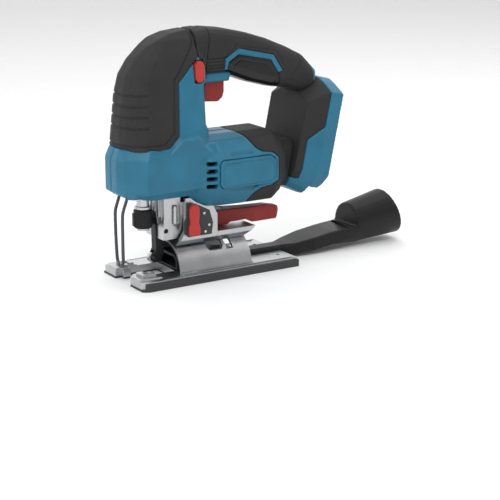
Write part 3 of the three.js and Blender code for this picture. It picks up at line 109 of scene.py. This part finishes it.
# %% Lay the floor and stand the backdrop
def sheet(name, half_side, place=Matrix.Identity(4)):
    """A flat square, this many metres from its middle to each side."""
    mesh = bpy.data.meshes.new(name)
    bm = bmesh.new()
    bmesh.ops.create_grid(bm, x_segments=1, y_segments=1, size=half_side, matrix=place)
    bm.to_mesh(mesh)
    bm.free()
    thing = bpy.data.objects.new(name, mesh)
    bpy.context.scene.collection.objects.link(thing)
    return thing


floor = sheet("floor", 6)
upright = Matrix.Rotation(math.pi / 2, 4, "X")
backdrop = sheet("backdrop", 8, Matrix.Translation((2, 5.5, 0)) @ upright)
print("staged", floor.name, "and", backdrop.name)

# %% Fill the room with even light
world = bpy.data.worlds.new("studio")
bpy.context.scene.world = world
world.use_nodes = True
sky = world.node_tree.nodes["Background"]
sky.inputs["Color"].default_value = (1, 1, 1, 1)
sky.inputs["Strength"].default_value = 0.4
bpy.context.scene.view_settings.view_transform = "Standard"
print("room light", round(sky.inputs["Strength"].default_value, 2))

# %% [markdown]
# ## Finishes
#
# A moulded part isn't one flat colour. The mould leaves a fine grain, the skin's gloss is
# uneven, and edges are lighter, partly rubbed and partly catching the light; that edge light is
# painted into the colour here as a highlight. A picture wrapped round the part could show this,
# but it would need a layout for every part and would blur close up. So each finish is a small
# recipe of noise on Object coordinates: one coarse noise shifts the colour and the gloss, and a
# fine one makes the grain, while the ridges get the painted highlight. Object coordinates suit it
# because every mesh holds its own place, so the grain has one scale all over the tool.


# %% Write the helpers of a finish
# Where the painted edge highlight starts and where it is full, and how much lighter it paints the
# ridges. The highlight also stands for rubbed wear.
EDGE_STARTS, EDGE_FULL = 0.53, 0.62  # pointiness: 0.5 is flat, more is a sharper ridge
EDGE_HIGHLIGHT_AND_WEAR_GAIN = 1.9


def add_node(tree, kind, **inputs):
    """A new node with these inputs set."""
    node = tree.nodes.new(kind)
    for key, value in inputs.items():
        node.inputs[key.replace("_", " ")].default_value = value
    return node


def shade(colour, by):
    """The colour made lighter or darker, with its alpha."""
    return tuple(min(1, c * by) for c in colour) + (1,)


def paint_edge_highlight_and_wear(tree, colour, share, base):
    """Lightens the ridges by up to this share: a painted highlight that also stands for wear."""
    geometry = tree.nodes.new("ShaderNodeNewGeometry")
    highlight_and_wear_share = add_node(tree, "ShaderNodeMapRange", From_Min=EDGE_STARTS, From_Max=EDGE_FULL,
                      To_Max=share)
    tree.links.new(geometry.outputs["Pointiness"], highlight_and_wear_share.inputs["Value"])
    highlight_and_wear_mix = tree.nodes.new("ShaderNodeMix")
    highlight_and_wear_mix.data_type = "RGBA"
    highlight_and_wear_mix.inputs["B"].default_value = shade(colour, EDGE_HIGHLIGHT_AND_WEAR_GAIN)
    tree.links.new(highlight_and_wear_share.outputs["Result"], highlight_and_wear_mix.inputs["Factor"])
    tree.links.new(base, highlight_and_wear_mix.inputs["A"])
    return highlight_and_wear_mix.outputs["Result"]


# %% Write the recipe of a finish
MOTTLE_SCALE = 38.0
TONE_LOW, TONE_HIGH = 0.3, 0.7  # the part of the noise that the tones spread over
GRAIN_DEPTH = 0.0002  # metres


def finish(name, colour, roughness, grain=(900, 0.2), metallic=0.0, mottle=0.12,
           gloss_change=0.06, edge=0.0, stretch=(1, 1, 1), specular=0.5):
    """A material with mottled colour, uneven gloss, fine grain, and a painted highlight and wear
    on edges.

    The grain is the scale of its noise and the strength of its bump.
    """
    material = bpy.data.materials.new(name)
    material.use_nodes = True
    tree = material.node_tree
    shader = tree.nodes["Principled BSDF"]
    shader.inputs["Metallic"].default_value = metallic
    shader.inputs["Specular IOR Level"].default_value = specular

    where = tree.nodes.new("ShaderNodeTexCoord")
    mapping = add_node(tree, "ShaderNodeMapping", Scale=stretch)
    tree.links.new(where.outputs["Object"], mapping.inputs["Vector"])
    grain_scale, grain_strength = grain
    coarse = add_node(tree, "ShaderNodeTexNoise", Scale=MOTTLE_SCALE, Detail=4.0)
    fine = add_node(tree, "ShaderNodeTexNoise", Scale=float(grain_scale), Detail=3.0)
    for noise in (coarse, fine):
        tree.links.new(mapping.outputs["Vector"], noise.inputs["Vector"])

    tone = tree.nodes.new("ShaderNodeValToRGB")
    dark, light = tone.color_ramp.elements
    dark.position, light.position = TONE_LOW, TONE_HIGH
    dark.color, light.color = shade(colour, 1 - mottle), shade(colour, 1 + mottle)
    tree.links.new(coarse.outputs["Fac"], tone.inputs["Fac"])
    base = tone.outputs["Color"]
    # Painted highlight along the ridges, which also stands for rubbed wear.
    if edge:
        base = paint_edge_highlight_and_wear(tree, colour, edge, base)
    tree.links.new(base, shader.inputs["Base Color"])

    gloss = add_node(tree, "ShaderNodeMapRange", To_Min=roughness - gloss_change,
                     To_Max=roughness + gloss_change)
    tree.links.new(coarse.outputs["Fac"], gloss.inputs["Value"])
    tree.links.new(gloss.outputs["Result"], shader.inputs["Roughness"])
    bump = add_node(tree, "ShaderNodeBump", Strength=grain_strength, Distance=GRAIN_DEPTH)
    tree.links.new(fine.outputs["Fac"], bump.inputs["Height"])
    tree.links.new(bump.outputs["Normal"], shader.inputs["Normal"])
    return material


# %% Make the plastic and rubber finishes
MOULDED_GRAIN = (1400, 0.3)
# Each edge value is how far the ridges are lightened by the painted highlight and wear.
finishes = {
    "housing_blue": finish("housing_blue", (0.02, 0.145, 0.235), 0.4, MOULDED_GRAIN,
                           edge=0.45, specular=0.3),
    "grip_rubber": finish("grip_rubber", (0.021, 0.021, 0.021), 0.66, (2200, 0.7),
                          edge=0.4, specular=0.3),
    "gloss_black": finish("gloss_black", (0.006, 0.006, 0.006), 0.28, (600, 0.1),
                          mottle=0.2, specular=0.35),
    "black_plastic": finish("black_plastic", (0.012, 0.012, 0.013), 0.42, MOULDED_GRAIN,
                            edge=0.3, specular=0.22),
    "dark_plastic": finish("dark_plastic", (0.04, 0.04, 0.042), 0.55, (1500, 0.5),
                           edge=0.3, specular=0.3),
    "red_plastic": finish("red_plastic", (0.42, 0.03, 0.024), 0.38, MOULDED_GRAIN,
                          edge=0.3, specular=0.35),
    "circuit_board": finish("circuit_board", (0.02, 0.14, 0.05), 0.4, (300, 0.5), mottle=0.3),
}
deep_red = finish("red_plastic_deep", (0.24, 0.02, 0.018), 0.42, MOULDED_GRAIN,
                  edge=0.3, specular=0.3)
print(len(finishes), "plastic and rubber finishes, and", deep_red.name)

# %% Make the metal finishes
METAL = {"metallic": 1.0, "gloss_change": 0.08}
ALONG_Z = (0.2, 0.2, 3)  # draws the ground steel's noise into bands across its length
finishes |= {
    "cast_aluminium": finish("cast_aluminium", (0.5, 0.51, 0.52), 0.32, (700, 0.4),
                             mottle=0.08, **METAL),
    "bright_steel": finish("bright_steel", (0.52, 0.53, 0.54), 0.24, (500, 0.2),
                           mottle=0.06, stretch=ALONG_Z, **METAL),
    "dark_steel": finish("dark_steel", (0.09, 0.095, 0.1), 0.38, (500, 0.3),
                         mottle=0.1, **METAL),
    "copper": finish("copper", (0.75, 0.33, 0.16), 0.3, (400, 0.2), metallic=1.0, mottle=0.15),
    "brass": finish("brass", (0.72, 0.55, 0.25), 0.3, (400, 0.2), metallic=1.0, mottle=0.1),
}
print(len(finishes), "finishes in all")

# %% Give the floor, the backdrop and every node of the frame a finish
PALE = {"colour": (0.9, 0.9, 0.9), "roughness": 0.7, "grain": (200, 0.05), "mottle": 0.01}
floor.data.materials.append(finish("floor", **PALE))
glow = finish("glow", **PALE)
glow_shader = glow.node_tree.nodes["Principled BSDF"]
glow_shader.inputs["Emission Color"].default_value = (1, 1, 1, 1)
glow_shader.inputs["Emission Strength"].default_value = 0.8
backdrop.data.materials.append(glow)
for name, node in frame["nodes"].items():
    slot_name[name] = node.data.materials[0].name.split(".")[0]
    node.data.materials[0] = finishes[slot_name[name]]
print(len(slot_name), "nodes dressed")

# %% [markdown]
# ## Softening a part
#
# A frame part has knife edges, and real parts never do. Its mesh could be bevelled edge by edge
# or built again as an even skin. A bevel keeps flat faces flat, so the castings further down use
# it. A moulded part has many small facets that meet at shallow angles, where bevels run into
# each other. So it is built again as an even skin of small squares and smoothed a few times,
# which rounds every edge a little and lets small features be pressed into its surface.


# %% Start from a node's mesh, and run one modifier on it
MERGE_GAP = 0.002  # millimetres


def start_mesh(node):
    """A merged copy of a node's mesh, in millimetres."""
    bm = bmesh.new()
    bm.from_mesh(frame["nodes"][node].data)
    bmesh.ops.scale(bm, vec=(1 / MM,) * 3, verts=bm.verts)
    bmesh.ops.remove_doubles(bm, verts=bm.verts, dist=MERGE_GAP)
    return bm


def modify(bm, kind, **settings):
    """The mesh after one modifier with these settings."""
    mesh = bpy.data.meshes.new("work")
    bm.to_mesh(mesh)
    bm.free()
    thing = bpy.data.objects.new("work", mesh)
    bpy.context.scene.collection.objects.link(thing)
    modifier = thing.modifiers.new(kind.lower(), kind)
    for key, value in settings.items():
        setattr(modifier, key, value)
    made = bmesh.new()
    made.from_mesh(thing.evaluated_get(bpy.context.evaluated_depsgraph_get()).to_mesh())
    bpy.data.objects.remove(thing)
    bpy.data.meshes.remove(mesh)
    return made


# %% Turn a mesh into a piece
def piece_of(bm, name, body, slot, smooth_angle=35):
    """Turns a mesh in millimetres into a named piece that rides on a body.

    Edges sharper than the angle stay sharp. An angle of 0 smooths them all.
    """
    bmesh.ops.scale(bm, vec=(MM,) * 3, verts=bm.verts)
    bmesh.ops.recalc_face_normals(bm, faces=bm.faces)
    mesh = bpy.data.meshes.new(name)
    bm.to_mesh(mesh)
    bm.free()
    mesh.polygons.foreach_set("use_smooth", [True] * len(mesh.polygons))
    if smooth_angle:
        mesh.set_sharp_from_angle(angle=math.radians(smooth_angle))
    mesh.materials.append(finishes[slot])
    thing = bpy.data.objects.new(name, mesh)
    bpy.context.scene.collection.objects.link(thing)
    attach(thing, body)
    print(name, len(mesh.polygons), "faces")
    return thing


# %% Build a moulded part again as an even skin
def moulded(node, voxel, rounds=4, press=None):
    """A moulded part: an even skin over the frame's form, with features pressed in."""
    made = modify(start_mesh(node), "REMESH", mode="VOXEL", voxel_size=voxel)
    for _ in range(rounds):
        bmesh.ops.smooth_vert(made, verts=made.verts, factor=0.5, use_axis_x=True,
                              use_axis_y=True, use_axis_z=True)
    made.normal_update()
    if press:
        for vert in made.verts:
            vert.co -= vert.normal * press(vert.co, vert.normal)
    piece = piece_of(made, node + "_moulding", body_of[node], slot_name[node], smooth_angle=0)
    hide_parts(node)
    return piece


# %% [markdown]
# ## Pressing features into a skin
#
# Grips carry grooves a millimetre or so deep. They could be cut out with solid cutters, but the
# cut edges would be sharp and would need rounding again. Here a groove is written as the line it
# follows, seen from the side of the tool. Each vertex of the even skin measures its distance to
# that line, and inside the groove's width it sinks along its own normal, by a rounded profile.
# Vertices on the hidden inner face are left where they are.


# %% Write the press for a groove
def distance(point, line):
    """How far a point in X and Z is from a line of joined segments."""
    best = math.inf
    for (ax, az), (bx, bz) in zip(line, line[1:]):
        dx, dz = bx - ax, bz - az
        t = ((point.x - ax) * dx + (point.z - az) * dz) / (dx * dx + dz * dz)
        t = max(0, min(1, t))
        best = min(best, math.hypot(point.x - ax - t * dx, point.z - az - t * dz))
    return best


def outer_skin(point, normal):
    """True where the skin faces away from the tool's middle plane."""
    return normal.y * point.y > 0


def grooves(lines, width, depth, allowed=outer_skin):
    """A press that sinks the skin along each line, where it is allowed to."""
    def press(point, normal):
        if not allowed(point, normal):
            return 0
        near = min(distance(point, line) for line in lines)
        return depth * max(0, 1 - (near / (width / 2)) ** 2)
    return press


def both_presses(*presses):
    """Several presses at once; the deepest wins."""
    return lambda point, normal: max(press(point, normal) for press in presses)


# %% [markdown]
# ## The grips
#
# The grips are rubber moulded over the shells. The palm grip carries a pressed frame a few
# millimetres inside its border and four short grooves round its nose, where the palm pushes. The
# handle grip has ribs above the trigger, a frame round the coloured inlay, a crease where the
# end cap begins and fine ridges on top. All of these are shallow and have soft edges, so each is
# pressed in. Heights are counted down from the top of the tool.

# %% Press the palm grip
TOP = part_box("palm_grip")[1].z / MM
palm_frame = [(-15, TOP + 4), (-15.5, TOP - 11.5), (-37.5, TOP - 40.5), (-40.5, 130.5),
              (-50, 121.5), (-95, 121.5)]
nose_lines = [[(-95, z), (-63.5, z)] for z in (163, 154, 145, 136)]


def palm_skin(point, normal):
    """The outer skin, and the nose that faces the palm."""
    return outer_skin(point, normal) or normal.x < -0.3 and point.x < -60


moulded("palm_grip", 0.7, 4, both_presses(
    grooves([palm_frame], width=2.6, depth=1.3, allowed=palm_skin),
    grooves(nose_lines, width=2.4, depth=1.3, allowed=palm_skin)))
moulded("grip_band", 0.6, 3)

# %% Press the handle grip
RIBS, RIB_DROP, RIB_PITCH = 5, 37.5, 2.9
rib_heights = [TOP - RIB_DROP + RIB_PITCH * i for i in range(RIBS)]
rib_lines = [[(-1.5, z), (15, z)] for z in rib_heights]
inlay_frame = [(10.5, TOP - 33), (26.5, TOP - 15.5), (67.5, TOP - 24), (79, TOP - 43)]
end_crease = [(85, TOP - 12), (91, TOP - 29), (92, TOP - 38), (84, TOP - 47)]
ridge_lines = [[(x, TOP - 30), (x, TOP + 5)] for x in range(36, 66, 4)]


def handle_top(point, normal):
    """The two shoulders of the handle's top, clear of the seam in the middle."""
    return normal.z > 0.35 and 3 < abs(point.y) < 11


moulded("handle_grip", 0.65, 3, both_presses(
    grooves(rib_lines, width=1.7, depth=1.1),
    grooves([inlay_frame, end_crease], width=1.5, depth=0.7),
    grooves(ridge_lines, width=1.6, depth=0.5, allowed=handle_top)))

# %% Press the handle pad and mould the inlays
pad_frame = [(23, TOP - 60), (24, TOP - 33), (31, TOP - 28.5), (60, TOP - 35), (67, TOP - 46),
             (68, TOP - 60)]
moulded("handle_pad", 0.6, 3, grooves([pad_frame], width=1.4, depth=0.6))
for side in ("left", "right"):
    moulded("handle_inlay_" + side, 0.5, 2)

# %% [markdown]
# ## The shells, the battery foot and the adaptor
#
# These are large thin mouldings. Their vents and facets come from the frame, and cutting them
# again here would only risk a mismatch, so the parts just lose their knife edges. The larger
# the part, the wider the squares of its skin, which keeps the count of faces down. The label
# plates get a pressed border, left plain inside.

# %% Mould the shells and the foot
for name, voxel, rounds in (("left_housing", 0.85, 3), ("right_housing", 0.85, 3),
                            ("motor_cap", 0.8, 3), ("battery_foot", 0.9, 3),
                            ("battery_rails", 0.8, 2), ("dust_adaptor", 0.8, 3)):
    moulded(name, voxel, rounds)

# %% Press the border of the label plates
INSET_X, INSET_Z = 2.6, 2.4
low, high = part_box("label_plate_left")
x0, x1 = low.x / MM + INSET_X, high.x / MM - INSET_X
z0, z1 = low.z / MM + INSET_Z, high.z / MM - INSET_Z
border = [(x0, z0 + 3), (x0, z1 - 3), (x0 + 2.5, z1), (x1 - 4.5, z1), (x1, z1 - 3.5),
          (x1, z0 + 3), (x1 - 4, z0), (x0 + 2.5, z0), (x0, z0 + 3)]
for side in ("left", "right"):
    moulded("label_plate_" + side, 0.5, 2, grooves([border], width=1.5, depth=0.6))

# %% [markdown]
# ## The small parts
#
# The trigger, the buttons and the levers are small mouldings, and the guard is a bent wire. A
# finger looks for their rounded edges, so their skins have finer squares than the shells do. The
# trigger and the bevel lever are moulded from a deeper red than the buttons, which is a second
# finish on the same slot.

# %% Mould the small parts
for name, voxel, rounds in (("trigger", 0.5, 3), ("lock_button", 0.4, 3),
                            ("bevel_lever", 0.5, 3), ("selector_lever", 0.4, 3),
                            ("clamp_collar", 0.35, 3), ("wire_guard", 0.35, 2)):
    part = moulded(name, voxel, rounds)
    if name in ("trigger", "bevel_lever"):
        part.data.materials[0] = deep_red

# %% [markdown]
# ## The castings and the turned parts
#
# The base, the saddle, the gear housing and the parts that slide or turn have flat machined
# faces. An even skin would make those faces wavy, so the triangles of each face are dissolved
# into one and a narrow bevel runs along every sharp edge. Shading that is weighted by the size
# of the faces keeps the large ones looking flat. The gear housing also shows a bright rod in the
# pocket on each side. It is a capped cylinder with a bevelled rim, joined to the casting.


# %% Write how a rod and a casting are made
FLAT_ANGLE, SHARP_ANGLE = 1, 25  # degrees


def add_rod(bm, start, end, radius, rim):
    """Joins a rod with a bevelled rim to a mesh, from one point to another."""
    start, end = Vector(start), Vector(end)
    turn = (end - start).to_track_quat("Z", "Y").to_matrix().to_4x4()
    made = bmesh.ops.create_cone(bm, cap_ends=True, segments=24, radius1=radius,
                                 radius2=radius, depth=(end - start).length,
                                 matrix=Matrix.Translation((start + end) / 2) @ turn)
    rod = set(made["verts"])
    rims = [edge for edge in bm.edges if edge.verts[0] in rod
            and any(len(face.verts) > 4 for face in edge.link_faces)]
    bmesh.ops.bevel(bm, geom=rims, offset=rim, segments=3, profile=0.5, affect="EDGES",
                    material=-1)


def bevelled(node, width, rods=()):
    """A hard part with its edges broken, and any rods that stand on it."""
    bm = start_mesh(node)
    bmesh.ops.dissolve_limit(bm, angle_limit=math.radians(FLAT_ANGLE), verts=bm.verts,
                             edges=bm.edges)
    made = modify(bm, "BEVEL", width=width, segments=2, limit_method="ANGLE",
                  angle_limit=math.radians(SHARP_ANGLE), miter_outer="MITER_ARC")
    for rod in rods:
        add_rod(made, *rod)
    piece = piece_of(made, node + "_casting", body_of[node], slot_name[node])
    even = piece.modifiers.new("even_normals", "WEIGHTED_NORMAL")
    even.keep_sharp = True
    even.weight = 100
    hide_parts(node)


# %% Make the castings and the turned parts
for name, width in (("base_plate", 0.35), ("sole_shoe", 0.5), ("saddle", 0.5),
                    ("dust_chute", 0.5), ("plunger", 0.5), ("blade_holder", 0.4),
                    ("terminal_block", 0.5), ("pendulum_lever", 0.6), ("guide_roller", 0.3),
                    ("pendulum_pin", 0.3), ("clamp_screw", 0.4), ("collar_ring", 0.3),
                    ("selector_plate", 0.4), ("selector_shaft", 0.3)):
    bevelled(name, width)

# %% Make the gear housing with its rods
ROD_X, ROD_Y, ROD_FOOT, ROD_HEAD = -34.6, 15.4, 49, 65.5
rods = [((ROD_X, side * ROD_Y, ROD_FOOT), (ROD_X, side * ROD_Y, ROD_HEAD), 2.1, 1.2)
        for side in (-1, 1)]
bevelled("gear_housing", 0.5, rods)

# %% [markdown]
# ## The selector's marks
#
# Three small bright studs on the selector's plate mark the strokes of the pendulum. Dots painted
# in the plate's finish would look flat from the side, so each stud is a short rod that is sunk
# a little into the plate.

# %% Add the studs
STUD_SUNK, STUD_PROUD = 0.4, 0.5
bm = bmesh.new()
face_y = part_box("selector_plate")[0].y / MM
for x, z in ((-10.5, 57.4), (-5.7, 46.5), (-9.3, 41)):
    add_rod(bm, (x, face_y + STUD_SUNK, z), (x, face_y - STUD_PROUD, z), radius=1.3, rim=0.35)
piece_of(bm, "selector_studs", "housing", "bright_steel")
